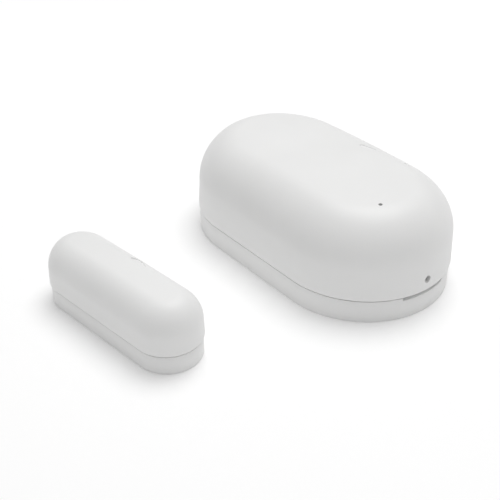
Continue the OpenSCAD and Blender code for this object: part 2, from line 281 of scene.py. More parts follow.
def foam(graph, colour, cell_size):
    """Closed-cell foam: small round cells, with the pits between them darkened by painted shade."""
    bubbles = graph.cells(cell_size)
    big = graph.cells(3.1 * cell_size)
    pits = graph.remap(bubbles, 0.0, 0.55)
    # Painted shade: the pits and the larger cells are darkened where the bump is lowest.
    tint = graph.mix(pits, shade(colour, 0.72), shade(colour, 1.06))
    tint = graph.mix(graph.remap(big, 0.0, 0.3) * 0.4, shade(colour, 0.85), tint)
    return graph.surface(Base_Color=tint, Roughness=0.92, Specular_IOR_Level=0.2,
                         Normal=graph.relief(pits + big * 0.4, 0.05 * MM))


def clear_plastic(graph, colour):
    """Clear moulded acrylic with faint flow lines."""
    flow = graph.noise(1.2 * MM, detail=2, where=graph.place((1, 1, 0.25)))
    tint = graph.mix(flow, shade(colour, 0.96), rgba(colour))
    rough = graph.remap(flow, 0.3, 0.7, 0.08, 0.2)
    return graph.surface(Base_Color=tint, Roughness=rough, Transmission_Weight=0.85, IOR=1.49)


def tinted_glass(graph, colour):
    """Green reed glass, a little deeper in tint where it was melted shut at its ends."""
    across = graph.node("ShaderNodeSeparateXYZ", {}, {0: graph.place(
        shift=(-middle("reed_glass").x, 0, 0))})
    ends = graph.remap(abs(across), 4.6 * MM, 6.6 * MM)
    wave = graph.noise(0.8 * MM, detail=2)
    tint = graph.mix(ends, rgba(colour), shade(colour, 0.55))
    rough = graph.remap(wave, 0.3, 0.7, 0.01, 0.06)
    return graph.surface(Base_Color=tint, Roughness=rough, Transmission_Weight=0.9, IOR=1.5,
                         Normal=graph.relief(wave, 0.01 * MM))


def solder_mask(graph, colour, pitch):
    """Circuit board: mask over copper tracks that show as a lighter, raised pattern."""
    where = graph.place()
    x = graph.node("ShaderNodeSeparateXYZ", {}, {0: where})
    y = x.other("Y")
    bend = graph.noise(5 * MM, detail=0) - 0.5
    rows = abs(((y + bend * (2.2 * MM)) / pitch).math("FRACT") - 0.5) < 0.16
    columns = abs(((x + bend * (1.6 * MM)) / pitch).math("FRACT") - 0.5) < 0.16
    patches = graph.cells(3.4 * MM) > 0.42
    tracks = rows * patches + columns * (1 - patches)
    glass = graph.noise(0.35 * MM, detail=2, where=graph.place((1, 1, 6)))
    tint = graph.mix(tracks * 0.55, rgba(colour), shade(colour, 1.9))
    tint = graph.mix(graph.remap(glass, 0.4, 0.6) * 0.18, tint, shade(colour, 0.6))
    rough = graph.remap(glass, 0.3, 0.7, 0.2, 0.34)
    return graph.surface(Base_Color=tint, Roughness=rough,
                         Normal=graph.relief(tracks, 0.02 * MM))


def board_edge(graph, colour):
    """Cut edge of a glass-epoxy board: layers of yellowish weave."""
    layers = graph.noise(0.14 * MM, detail=2, where=graph.place((0.3, 0.3, 3)))
    tint = graph.mix(graph.remap(layers, 0.35, 0.65), shade(colour, 0.75), shade(colour, 1.15))
    return graph.surface(Base_Color=tint, Roughness=graph.remap(layers, 0.3, 0.7, 0.5, 0.75),
                         Normal=graph.relief(layers, 0.02 * MM))


def cell_sleeve(graph, colour, band, steel, low_end, high_end):
    """Shrink sleeve round the cell, with one plain band near its positive end."""
    x = graph.node("ShaderNodeSeparateXYZ", {}, {0: graph.place()})
    banded = (x > (high_end - 6.5 * MM)) * (x < (high_end - 0.2 * MM))
    stripe = (x > (high_end - 8.0 * MM)) * (x < (high_end - 7.2 * MM))
    wrinkle = graph.noise(2.6 * MM, detail=3, where=graph.place((0.25, 1, 1)))
    print_dots = graph.noise(0.3 * MM, detail=1)
    tint = graph.mix(banded, rgba(colour), rgba(band))
    tint = graph.mix(stripe, tint, rgba(steel))
    tint = graph.mix(graph.remap(print_dots, 0.45, 0.6) * 0.06, tint, shade(steel, 1.2))
    rough = graph.remap(wrinkle, 0.3, 0.7, 0.2, 0.33)
    ends = graph.remap(abs(x - (low_end + high_end) / 2), (high_end - low_end) / 2 - 1.6 * MM,
                       (high_end - low_end) / 2)
    return graph.surface(Base_Color=tint, Roughness=rough, Coat_Weight=graph.remap(
        wrinkle, 0.3, 0.7, 0.25, 0.5), Normal=graph.relief(wrinkle + ends, 0.03 * MM))


def epoxy_package(graph, colour):
    """Moulded epoxy of a small part: matt with pale dust in its pores."""
    grit = graph.noise(0.06 * MM, detail=3, rough=0.7)
    cloud = graph.noise(0.9 * MM, detail=3)
    tint = graph.mix(graph.remap(grit, 0.52, 0.72) * 0.35, rgba(colour), shade(colour, 2.2))
    rough = graph.remap(cloud, 0.3, 0.7, 0.45, 0.65)
    return graph.surface(Base_Color=tint, Roughness=rough,
                         Normal=graph.relief(grit, 0.006 * MM))


def led_lens(graph, colour):
    """White LED package whose lens has a warm phosphor core."""
    core = graph.cells(0.7 * MM)
    grit = graph.noise(0.1 * MM)
    tint = graph.mix(graph.remap(core, 0.1, 0.6), shade(colour, 0.92), rgba(colour))
    return graph.surface(Base_Color=tint, Roughness=graph.remap(grit, 0.3, 0.7, 0.18, 0.3),
                         Coat_Weight=graph.remap(core, 0.0, 0.6, 0.6, 0.4))


def floor_paper(graph, colour, glow):
    """Pale backlit sheet with a barely visible tooth."""
    tooth = graph.noise(0.5 * MM, detail=3)
    cloud = graph.noise(60 * MM, detail=2)
    tint = graph.mix(graph.remap(cloud, 0.3, 0.7), shade(colour, 0.995), rgba(colour))
    return graph.surface(Base_Color=tint, Roughness=0.9, Specular_IOR_Level=0.15,
                         Emission_Color=rgba(colour), Emission_Strength=glow,
                         Normal=graph.relief(tooth, 0.01 * MM))


def paint(name):
    """The material of one of the record's slots, or of a detail on it."""
    colours = bpy.context.scene.sensor_finishes
    along_x, along_y, along_z = (0.12, 1, 1), (1, 0.12, 1), (1, 1, 0.12)
    low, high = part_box("battery_cell")
    made = {
        "shell_white": (spark_textured, colours.shell, 0.46, 0.16 * MM, 0.005 * MM),
        "base_white": (spark_textured, colours.base, 0.5, 0.2 * MM, 0.006 * MM),
        "foam_tape": (foam, colours.tape, 0.35 * MM),
        "foam_dark": (foam, (0.05, 0.05, 0.052), 0.3 * MM),
        "clear_acrylic": (clear_plastic, (0.93, 0.96, 0.97)),
        "holder_black": (satin_plastic, (0.028, 0.028, 0.03), 0.5),
        "switch_black": (satin_plastic, (0.02, 0.02, 0.022), 0.42),
        "plunger_white": (satin_plastic, (0.62, 0.62, 0.6), 0.35),
        "cell_sleeve": (cell_sleeve, colours.sleeve, colours.sleeve_band, (0.6, 0.6, 0.58),
                        low.x, high.x),
        "spring_steel": (plated_metal, (0.66, 0.65, 0.62), 0.3, along_x),
        "contact_nickel": (plated_metal, (0.68, 0.66, 0.6), 0.32, along_z),
        "cell_steel": (plated_metal, (0.64, 0.64, 0.64), 0.24, (1, 1, 1)),
        "tinned_steel": (plated_metal, (0.62, 0.62, 0.61), 0.34, along_y),
        "tinned_lead": (plated_metal, (0.66, 0.66, 0.64), 0.28, along_x),
        "solder": (plated_metal, (0.6, 0.6, 0.6), 0.22, (1, 1, 1)),
        "gold_pad": (plated_metal, (0.78, 0.56, 0.22), 0.3, along_y),
        "crystal_can": (plated_metal, (0.68, 0.68, 0.67), 0.26, along_x),
        "screw_zinc": (plated_metal, (0.6, 0.61, 0.63), 0.3, along_x),
        "magnet_nickel": (plated_metal, (0.6, 0.6, 0.61), 0.2, (1, 1, 1)),
        "board_green": (solder_mask, colours.board, 0.9 * MM),
        "module_blue": (solder_mask, (0.012, 0.05, 0.13), 0.7 * MM),
        "board_edge": (board_edge, (0.42, 0.36, 0.16)),
        "reed_glass": (tinted_glass, (0.6, 0.86, 0.66)),
        "tantalum_orange": (epoxy_package, (0.72, 0.36, 0.04)),
        "chip_tan": (epoxy_package, (0.4, 0.27, 0.15)),
        "led_lens": (led_lens, (0.86, 0.82, 0.6)),
        "floor": (floor_paper, colours.floor, bpy.context.scene.sensor_studio.glow),
    }[name]
    return material(name + "_look", *made)


# ---------------------------------------------------------------------------
# Mesh helpers. Every function adds to a bmesh, in metres, and marks its faces.
# ---------------------------------------------------------------------------

def mark_new(bm, known, index):
    """Gives a material index to the faces that aren't known yet."""
    for face in bm.faces:
        if face not in known:
            face.material_index = index


def add_box(bm, low, high, bevel=0.0, steps=2, index=0, place=None):
    """A block with rounded edges."""
    known = set(bm.faces)
    low, high = Vector(low), Vector(high)
    matrix = Matrix.Translation((low + high) / 2) @ Matrix.Diagonal((*(high - low), 1))
    made = bmesh.ops.create_cube(bm, size=1, matrix=matrix)["verts"]
    if bevel:
        edges = list({edge for vert in made for edge in vert.link_edges})
        bmesh.ops.bevel(bm, geom=edges, offset=bevel, segments=steps, profile=0.5,
                        affect="EDGES")
        made = {vert for face in bm.faces if face not in known for vert in face.verts}
    if place:
        bmesh.ops.transform(bm, matrix=place, verts=list(made))
    mark_new(bm, known, index)


def add_rings(bm, rings, index=0, caps=False):
    """Quads between rings of points, each ring closed."""
    rows = [[bm.verts.new(point) for point in ring] for ring in rings]
    count = len(rows[0])
    for row, following in zip(rows, rows[1:]):
        for i in range(count):
            j = (i + 1) % count
            face = bm.faces.new((row[i], row[j], following[j], following[i]))
            face.material_index = index
    if caps:
        for row in (rows[0][::-1], rows[-1]):
            bm.faces.new(row).material_index = index


def add_lathe(bm, profile, start, axis=(0, 0, 1), sides=48, index=0):
    """A turned shape: (radius, height) pairs along an axis from start."""
    turn = Vector((0, 0, 1)).rotation_difference(Vector(axis)).to_matrix()
    rings = []
    for radius, height in profile:
        ring = []
        for i in range(sides):
            angle = math.tau * i / sides
            point = Vector((radius * math.cos(angle), radius * math.sin(angle), height))
            ring.append(turn @ point + Vector(start))
        rings.append(ring)
    add_rings(bm, rings, index)


def rod_profile(radius, length, bevel, steps=3):
    """Profile of a rod with rounded ends, for add_lathe."""
    arc = [RIGHT_ANGLE * i / steps for i in range(steps + 1)]
    near = [(radius - bevel + bevel * math.sin(a), bevel - bevel * math.cos(a)) for a in arc]
    far = [(r, length - h) for r, h in reversed(near)]
    return [(0, 0), *near, *far, (0, length)]


def add_tube(bm, path, radius, sides):
    """A round wire along a path of points."""
    points = [Vector(point) for point in path]
    normal = None
    rings = []
    for i, point in enumerate(points):
        before = points[max(i - 1, 0)]
        after = points[min(i + 1, len(points) - 1)]
        along = (after - before).normalized()
        if normal is None:
            normal = along.orthogonal().normalized()
        normal = (normal - along * normal.dot(along)).normalized()
        side = along.cross(normal)
        ring = []
        for j in range(sides):
            angle = math.tau * j / sides
            ring.append(point + radius * (math.cos(angle) * normal + math.sin(angle) * side))
        rings.append(ring)
    add_rings(bm, rings, caps=True)


def arc_path(corner, first, last, radius, steps=6):
    """Points of a rounded bend at a corner between the directions to two other points."""
    corner, first, last = Vector(corner), Vector(first), Vector(last)
    start = corner + (first - corner).normalized() * radius
    end = corner + (last - corner).normalized() * radius
    points = []
    for i in range(steps + 1):
        t = i / steps
        points.append(start.lerp(corner, t).lerp(corner.lerp(end, t), t))
    return points


def add_cad_copy(bm, node, index=0):
    """A copy of a CAD node's shape, merged into clean faces, for rounding its edges."""
    known = set(bm.faces)
    bm.from_mesh(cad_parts[node].data)
    bmesh.ops.remove_doubles(bm, verts=bm.verts, dist=0.002 * MM)
    bmesh.ops.dissolve_limit(bm, angle_limit=math.radians(0.3), verts=bm.verts,
                             edges=bm.edges)
    mark_new(bm, known, index)


def as_object(name, bm):
    """Turns a bmesh into an object with faces that point outwards."""
    bmesh.ops.remove_doubles(bm, verts=bm.verts, dist=0.001 * MM)
    bmesh.ops.recalc_face_normals(bm, faces=bm.faces)
    mesh = bpy.data.meshes.new(name)
    bm.to_mesh(mesh)
    bm.free()
    made = bpy.data.objects.new(name, mesh)
    bpy.context.scene.collection.objects.link(made)
    return made


def empty_object(name):
    """An object with an empty mesh, for a geometry tree to fill."""
    made = bpy.data.objects.new(name, bpy.data.meshes.new(name))
    bpy.context.scene.collection.objects.link(made)
    return made


def settle(piece):
    """Applies every modifier of a piece, through its evaluated mesh."""
    depsgraph = bpy.context.evaluated_depsgraph_get()
    depsgraph.update()
    mesh = bpy.data.meshes.new_from_object(piece.evaluated_get(depsgraph))
    piece.modifiers.clear()
    piece.data = mesh
    return piece


def round_edges(piece, width):
    """Rounds the edges that turn by more than 35 degrees."""
    bevel = piece.modifiers.new("round", "BEVEL")
    bevel.limit_method = "ANGLE"
    bevel.angle_limit = math.radians(35)
    bevel.width = width
    bevel.segments = 2
    bevel.use_clamp_overlap = True
    return settle(piece)


def combine(piece, tool, operation):
    """Cuts a closed tool from a piece or joins it on, and removes the tool."""
    boolean = piece.modifiers.new("combine", "BOOLEAN")
    boolean.operation = operation
    boolean.solver = "EXACT"
    boolean.object = tool
    settle(piece)
    bpy.data.objects.remove(tool)
    return piece


def finish_piece(piece, body, nodes, paints=(), sharp=40):
    """Gives a piece its materials, smooth shading and body, and hides the CAD nodes it replaces."""
    mesh = piece.data
    if paints:
        mesh.materials.clear()
        for name in paints:
            mesh.materials.append(paint(name))
    for face in mesh.polygons:
        face.use_smooth = True
    mesh.set_sharp_from_angle(angle=math.radians(sharp))
    if nodes:
        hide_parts(*nodes)
    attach(piece, body)
    return piece


# ---------------------------------------------------------------------------
# Geometry Nodes
# ---------------------------------------------------------------------------

def geometry_tree(name, inputs):
    """A new geometry tree with named inputs, as (graph, {name: value}, tree)."""
    tree = bpy.data.node_groups.new(name, "GeometryNodeTree")
    tree.interface.new_socket("Geometry", in_out="INPUT", socket_type="NodeSocketGeometry")
    for label, kind in inputs.items():
        tree.interface.new_socket(label, in_out="INPUT", socket_type="NodeSocket" + kind)
    tree.interface.new_socket("Geometry", in_out="OUTPUT", socket_type="NodeSocketGeometry")
    graph = Graph(tree)
    entry = graph.node("NodeGroupInput")
    given = {label: entry.other(label) for label in inputs}
    given["Geometry"] = entry.other("Geometry")
    return graph, given, tree


def close_tree(graph, shape, finish):
    """Ends a tree in Realize Instances, Set Material and its output."""
    shape = graph.node("GeometryNodeRealizeInstances", {}, {0: shape})
    shape = graph.node("GeometryNodeSetMaterial", {}, {"Geometry": shape, "Material": finish})
    graph.node("NodeGroupOutput", {}, {0: shape})


def grow(piece, tree, **values):
    """Runs a geometry tree on a piece and keeps the result as a plain mesh."""
    modifier = piece.modifiers.new(tree.name, "NODES")
    modifier.node_group = tree
    for item in tree.interface.items_tree:
        label = item.name.replace(" ", "_").lower()
        if item.in_out == "INPUT" and label in values:
            modifier[item.identifier] = values[label]
    return settle(piece)


def cover_tree():
    """Shell of a moulded cover: one closed skin swept round a stadium, inside and out."""
    found = bpy.data.node_groups.get("moulded_cover")
    if found:
        return found
    lengths = ("Spine", "Edge Radius", "Flare", "Low Edge", "Height", "Roll Reach",
               "Roll Rise", "Wall", "Edge Round", "Crown Along", "Crown Across")
    graph, given, tree = geometry_tree("moulded_cover", {
        **{label: "Float" for label in lengths}, "Columns": "Int", "Rows": "Int",
        "Additions": "Object", "Cutter": "Object", "Finish": "Material"})
    spine, edge, flare, low, height, reach, rise, wall, lip, along, across = (
        given[label] for label in lengths)
    grid = graph.node("GeometryNodeMeshGrid", {}, {
        "Size X": 1.0, "Size Y": 1.0, "Vertices X": given["Columns"],
        "Vertices Y": given["Rows"]})
    position = graph.node("GeometryNodeInputPosition")
    u = graph.node("ShaderNodeSeparateXYZ", {}, {0: position})
    turn = (u + 0.5) * 8
    way = u.other("Y") * 2

    def stretch(value, start, span):
        """From 0 to 1 over a span of a value, and held beyond it."""
        return ((value - start) / span).clamped()

    # round the stadium: two half turns, three eighths each, and two straights between them
    angle = (stretch(turn, 0, 3) + stretch(turn, 4, 3)) * math.pi - RIGHT_ANGLE
    centre = spine * (1 - 2 * stretch(turn, 3, 1) + 2 * stretch(turn, 7, 1))
    # up the wall: the first half of the rows is the inner skin, from its top down
    step = 1 / (given["Rows"] - 1)
    q = ((abs(way) - step) / (1 - step)).clamped()
    outside = way > 0
    inset = wall * (1 - outside)
    lip_part, wall_part, roll_part, top_part = (
        stretch(q, 0, 0.06), stretch(q, 0.06, 0.2), stretch(q, 0.26, 0.5),
        stretch(q, 0.76, 0.24))
    lip = lip * outside
    lip_angle = lip_part * RIGHT_ANGLE
    roll_angle = roll_part * RIGHT_ANGLE
    top = height - inset
    bend_x = reach - inset
    bend_z = rise - inset
    flat = edge - inset - flare - bend_x
    radius = (edge - inset - lip * (1 - lip_angle.math("SINE")) - flare * wall_part
              - bend_x * (1 - roll_angle.math("COSINE")) - flat * top_part)
    z = (low + lip * (1 - lip_angle.math("COSINE")) + (top - bend_z - low - lip) * wall_part
         + bend_z * roll_angle.math("SINE"))
    x = centre + radius * angle.math("COSINE")
    y = radius * angle.math("SINE")
    share = ((z - low) / (height - low)).clamped()
    drop = share * (along * (x / (spine + edge)) ** 2 + across * (abs(y) / edge) ** 2)
    place = graph.node("ShaderNodeCombineXYZ", {}, {0: x, 1: y, 2: z - drop})
    skin = graph.node("GeometryNodeSetPosition", {}, {"Geometry": grid, "Position": place})
    skin = graph.node("GeometryNodeMergeByDistance", {}, {
        "Geometry": skin, "Distance": 0.002 * MM})
    for label, operation in (("Additions", "UNION"), ("Cutter", "DIFFERENCE")):
        tool = graph.node("GeometryNodeObjectInfo", {}, {"Object": given[label]},
                          output="Geometry")
        shape = graph.node("GeometryNodeMeshBoolean",
                           {"operation": operation, "solver": "EXACT"})
        links = graph.tree.links
        sockets = shape.socket.node.inputs
        if operation == "UNION":
            links.new(skin.socket, sockets["Mesh 2"])
            links.new(tool.socket, sockets["Mesh 2"])
        else:
            links.new(skin.socket, sockets["Mesh 1"])
            links.new(tool.socket, sockets["Mesh 2"])
        skin = shape
    close_tree(graph, skin, given["Finish"])
    return tree


def repeat_tree():
    """One shape set on every point, scaled and turned by the points' own attributes."""
    found = bpy.data.node_groups.get("repeated_parts")
    if found:
        return found
    graph, given, tree = geometry_tree("repeated_parts", {
        "Shape": "Object", "Finish": "Material", "End Finish": "Material"})
    shape = graph.node("GeometryNodeObjectInfo", {}, {"Object": given["Shape"],
                                                      "As Instance": True},
                       output="Geometry")
    size = graph.node("GeometryNodeInputNamedAttribute", {"data_type": "FLOAT_VECTOR"},
                      {"Name": "size"})
    turn = graph.node("GeometryNodeInputNamedAttribute", {"data_type": "FLOAT"},
                      {"Name": "turn"})
    euler = graph.node("ShaderNodeCombineXYZ", {}, {2: turn})
    rotation = graph.node("FunctionNodeEulerToRotation", {}, {0: euler})
    placed = graph.node("GeometryNodeInstanceOnPoints", {}, {
        "Points": given["Geometry"], "Instance": shape, "Scale": size,
        "Rotation": rotation})
    placed = graph.node("GeometryNodeRealizeInstances", {}, {0: placed})
    ends = graph.node("GeometryNodeInputNamedAttribute", {"data_type": "BOOLEAN"},
                      {"Name": "ends"})
    body = graph.node("FunctionNodeBooleanMath", {"operation": "NOT"}, {0: ends})
    placed = graph.node("GeometryNodeSetMaterial", {}, {
        "Geometry": placed, "Selection": body, "Material": given["Finish"]})
    placed = graph.node("GeometryNodeSetMaterial", {}, {
        "Geometry": placed, "Selection": ends, "Material": given["End Finish"]})
    graph.node("NodeGroupOutput", {}, {0: placed})
    return tree


def repeat(name, shape, points, finish, end_finish=None):
    """Sets a shape on points given as (place, size, turn), and removes the shape.

    Faces of the shape with material index 1 are its ends, and get the end finish.
    """
    ends = shape.data.attributes.new("ends", "BOOLEAN", "FACE")
    for face in shape.data.polygons:
        ends.data[face.index].value = face.material_index == 1
    mesh = bpy.data.meshes.new(name)
    mesh.from_pydata([place for place, size, turn in points], [], [])
    mesh.attributes.new("size", "FLOAT_VECTOR", "POINT")
    mesh.attributes.new("turn", "FLOAT", "POINT")
    for i, (place, size, turn) in enumerate(points):
        mesh.attributes["size"].data[i].vector = size
        mesh.attributes["turn"].data[i].value = turn
    made = bpy.data.objects.new(name, mesh)
    bpy.context.scene.collection.objects.link(made)
    grow(made, repeat_tree(), shape=shape, finish=paint(finish),
         end_finish=paint(end_finish or finish))
    bpy.data.objects.remove(shape)
    return made


def spring_tree():
    """A conical coil spring, its wire swept along a spiral."""
    found = bpy.data.node_groups.get("cone_spring")
    if found:
        return found
    graph, given, tree = geometry_tree("cone_spring", {
        "Turns": "Float", "Wide Radius": "Float", "Narrow Radius": "Float",
        "Reach": "Float", "Wire Radius": "Float", "Finish": "Material"})
    line = graph.node("GeometryNodeCurveSpiral", {}, {
        "Resolution": 40, "Rotations": given["Turns"], "Start Radius": given["Wide Radius"],
        "End Radius": given["Narrow Radius"], "Height": given["Reach"]})
    ring = graph.node("GeometryNodeCurvePrimitiveCircle", {}, {
        "Resolution": 12, "Radius": given["Wire Radius"]})
    wire = graph.node("GeometryNodeCurveToMesh", {}, {
        "Curve": line, "Profile Curve": ring, "Fill Caps": True})
    close_tree(graph, wire, given["Finish"])
    return tree


# ---------------------------------------------------------------------------
# Settings
# ---------------------------------------------------------------------------

class SensorShape(bpy.types.PropertyGroup):
    """Sizes of the two covers that the frame doesn't give."""

    edge_round: bpy.props.FloatProperty(
        name="Edge rounding", description="Radius of each cover's lower outer edge",
        default=0.25 * MM, min=0.05 * MM, max=0.6 * MM, unit="LENGTH")
    flare: bpy.props.FloatProperty(
        name="Wall flare", description="How far the sensor's wall spreads towards its lower edge",
        default=0.3 * MM, min=0, max=0.6 * MM, unit="LENGTH")
    roll_reach: bpy.props.FloatProperty(
        name="Shoulder reach", description="Width of the sensor's rolled shoulder, seen from above",
        default=8.8 * MM, min=6 * MM, max=11 * MM, unit="LENGTH")
    roll_rise: bpy.props.FloatProperty(
        name="Shoulder rise", description="Height of the sensor's rolled shoulder",
        default=10.3 * MM, min=6 * MM, max=12 * MM, unit="LENGTH")
    crown_along: bpy.props.FloatProperty(
        name="Crown along", description="How far the sensor's top falls towards its ends",
        default=1.25 * MM, min=0, max=3 * MM, unit="LENGTH")
    crown_across: bpy.props.FloatProperty(
        name="Crown across", description="How far the sensor's top falls towards its sides",
        default=1.8 * MM, min=0, max=3 * MM, unit="LENGTH")
    magnet_reach: bpy.props.FloatProperty(
        name="Magnet shoulder reach", description="Width of the magnet unit's rolled shoulder",
        default=4.9 * MM, min=3 * MM, max=6 * MM, unit="LENGTH")
    magnet_rise: bpy.props.FloatProperty(
        name="Magnet shoulder rise", description="Height of the magnet unit's rolled shoulder",
        default=5.9 * MM, min=3 * MM, max=7 * MM, unit="LENGTH")


class SensorFinishes(bpy.types.PropertyGroup):
    """Colours that a user would change."""

    shell: bpy.props.FloatVectorProperty(
        name="Covers", description="Colour of both covers", subtype="COLOR",
        default=(0.86, 0.86, 0.855), min=0, max=1)
    base: bpy.props.FloatVectorProperty(
        name="Bases", description="Colour of both bases", subtype="COLOR",
        default=(0.86, 0.86, 0.855), min=0, max=1)
    tape: bpy.props.FloatVectorProperty(
        name="Foam tape", description="Colour of the adhesive pads", subtype="COLOR",
        default=(0.7, 0.7, 0.68), min=0, max=1)
    board: bpy.props.FloatVectorProperty(
        name="Circuit board", description="Colour of the solder mask", subtype="COLOR",
        default=(0.01, 0.11, 0.045), min=0, max=1)
    sleeve: bpy.props.FloatVectorProperty(
        name="Cell sleeve", description="Main colour of the cell's sleeve", subtype="COLOR",
        default=(0.03, 0.06, 0.2), min=0, max=1)
    sleeve_band: bpy.props.FloatVectorProperty(
        name="Cell band", description="Colour of the band at the cell's positive end",
        subtype="COLOR", default=(0.62, 0.36, 0.05), min=0, max=1)
    floor: bpy.props.FloatVectorProperty(
        name="Floor", description="Colour of the floor", subtype="COLOR",
        default=(0.96, 0.96, 0.96), min=0, max=1)


class SensorStudio(bpy.types.PropertyGroup):
    """Camera and light."""

    azimuth: bpy.props.FloatProperty(
        name="Azimuth", description="Camera's direction round the object", subtype="ANGLE",
        default=math.radians(51.35))
    elevation: bpy.props.FloatProperty(
        name="Elevation", description="Camera's height angle", subtype="ANGLE",
        default=math.radians(33.69))
    distance: bpy.props.FloatProperty(
        name="Distance", description="From the camera to its aim on the floor",
        default=205.9 * MM, unit="LENGTH")
    lens: bpy.props.FloatProperty(
        name="Lens", description="Focal length in millimetres on a 36 mm wide sensor",
        default=66.75, min=20, max=200)
    aim: bpy.props.FloatVectorProperty(
        name="Aim", description="Point on the floor that the camera looks at", size=3,
        subtype="TRANSLATION", default=(-7.32 * MM, -13.77 * MM, 0))
    key_power: bpy.props.FloatProperty(
        name="Key power", description="Power of the large soft light above the object",
        default=2.5, min=0, unit="POWER")
    glow: bpy.props.FloatProperty(
        name="Floor glow", description="Strength of the light that the backlit floor gives off",
        default=0.09, min=0, max=1)
    horizon: bpy.props.FloatProperty(
        name="Horizon", description="Strength of the even light from low all round",
        default=0.3, min=0, max=3)
    zenith: bpy.props.FloatProperty(
        name="Zenith", description="Strength of the even light from high all round",
        default=0.56, min=0, max=3)


# ---------------------------------------------------------------------------
# Operators
# ---------------------------------------------------------------------------

class SENSOR_OT_covers(bpy.types.Operator):
    """Moulded covers of the sensor and the magnet unit"""

    bl_idname = "sensor.covers"
    bl_label = "Covers"

    def execute(self, context):
        shape = context.scene.sensor_shape
        self.sensor_cover(shape)
        self.magnet_cover(shape)
        return {"FINISHED"}

    @staticmethod
    def groove(bm, start, end, radius):
        """Cutter of one engraved stroke: a round bar between two points, in millimetres."""
        start, end, radius = Vector(start) * MM, Vector(end) * MM, radius * MM
        length = (end - start).length
        add_lathe(bm, rod_profile(radius, length + 2 * radius, radius * 0.98, steps=6),
                  start - (end - start).normalized() * radius, end - start, sides=20)

    @staticmethod
    def bore(bm, radius, length, start, axis):
        """Cutter of a round hole."""
        add_lathe(bm, [(0, 0), (radius, 0), (radius, length), (0, length)], start, axis, sides=32)

    @staticmethod
    def mould(name, node, additions, cutter, **sizes):
        """A cover between its CAD node's lowest and highest edges, with its tools used up."""
        low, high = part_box(node)
        additions = as_object(name + "_additions", additions)
        cutter = as_object(name + "_cutter", cutter)
        cover = empty_object(name)
        grow(cover, cover_tree(), low_edge=low.z, height=high.z, additions=additions,
             cutter=cutter, finish=paint("shell_white"), **sizes)
        for tool in (additions, cutter):
            bpy.data.objects.remove(tool)
        return cover

    def sensor_cover(self, shape):
        """The larger cover, with its tamper post, two cell ribs, two pinholes and marks."""
        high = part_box("sensor_cover")[1]
        edge = high.y
        pipe = middle("light_pipe")
        tamper = middle("tamper_plunger")
        reset = middle("reset_plunger")
        additions = bmesh.new()
        post_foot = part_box("tamper_plunger")[1].z + 0.1 * MM
        add_lathe(additions, rod_profile(1.3 * MM, 10.8 * MM, 0.15 * MM),
                  (tamper.x, tamper.y, post_foot), sides=32)
        rib_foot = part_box("battery_cell")[1].z + 0.4 * MM
        rib_t, rib_half_w = 1.2 * MM, 4 * MM
        for x in (-15 * MM, -2 * MM):
            add_box(additions, (x, -rib_half_w, rib_foot),
                    (x + rib_t, rib_half_w, high.z - 1.3 * MM), 0.15 * MM)
        cutter = bmesh.new()
        self.bore(cutter, 0.4 * MM, 12 * MM, (pipe.x, pipe.y, 13 * MM), (0, 0, 1))
        self.bore(cutter, 0.8 * MM, 10 * MM, (high.x - 5 * MM, 0, reset.z), (1, 0, 0))
        self.groove(cutter, (1.9, 9.8, 22.34), (4.8, 10.7, 22.2), 0.55)
        self.groove(cutter, (12.8, 12.1, 21.42), (13.2, 12.1, 21.42), 0.4)
        cover = self.mould(
            "cover_shell", "sensor_cover", additions, cutter, spine=high.x - edge,
            edge_radius=edge, flare=shape.flare, roll_reach=shape.roll_reach,
            roll_rise=shape.roll_rise, wall=1.6 * MM, edge_round=shape.edge_round,
            crown_along=shape.crown_along, crown_across=shape.crown_across,
            columns=321, rows=120)
        finish_piece(cover, SENSOR_COVER, ["sensor_cover"])

    def magnet_cover(self, shape):
        """The smaller cover, made in its own frame and then turned into place."""
        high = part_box("magnet_cover")[1]
        additions = bmesh.new()
        rib_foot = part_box("magnet_foam")[1].z + 0.1 * MM
        rib_t, rib_half_w = MM, 2.4 * MM
        for x in (-6 * MM, 5 * MM):
            add_box(additions, (x, -rib_half_w, rib_foot),
                    (x + rib_t, rib_half_w, high.z - 0.9 * MM), 0.12 * MM)
        cutter = bmesh.new()
        self.groove(cutter, (-0.5, 3.35, 13.42), (0.9, 4.2, 12.95), 0.42)
        self.groove(cutter, (1.7, 3.84, 13.2), (3.3, 3.1, 13.55), 0.26)
        cover = self.mould(
            "magnet_cover_shell", "magnet_cover", additions, cutter, spine=12.9 * MM,
            edge_radius=7 * MM, flare=0.1 * MM, roll_reach=shape.magnet_reach,
            roll_rise=shape.magnet_rise, wall=1.2 * MM, edge_round=shape.edge_round * 0.8,
            crown_along=0.3 * MM, crown_across=0.6 * MM, columns=241, rows=84)
        cover.data.transform(magnet_place())
        finish_piece(cover, MAGNET_COVER, ["magnet_cover"])


class SENSOR_OT_bases(bpy.types.Operator):
    """Bases of the sensor and the magnet unit, with softened edges"""

    bl_idname = "sensor.bases"
    bl_label = "Bases"

    def execute(self, context):
        for node, name, body in (("sensor_base", "base_tray", SENSOR),
                                 ("magnet_base", "magnet_tray", MAGNET)):
            bm = bmesh.new()
            add_cad_copy(bm, node)
            tray = round_edges(as_object(name, bm), 0.12 * MM)
            finish_piece(tray, body, [node], ["base_white"])
        return {"FINISHED"}


class SENSOR_OT_pads(bpy.types.Operator):
    """Foam tape pads under both units and the foam on the bar magnet"""

    bl_idname = "sensor.pads"
    bl_label = "Foam pads"

    def execute(self, context):
        for node, name, body, slot in (
                ("sensor_adhesive_pad", "wall_tape", SENSOR, "foam_tape"),
                ("magnet_adhesive_pad", "magnet_tape", MAGNET, "foam_tape"),
                ("magnet_foam", "magnet_cushion", MAGNET, "foam_dark")):
            bm = bmesh.new()
            add_cad_copy(bm, node)
            pad = round_edges(as_object(name, bm), 0.08 * MM)
            finish_piece(pad, body, [node], [slot])
        return {"FINISHED"}


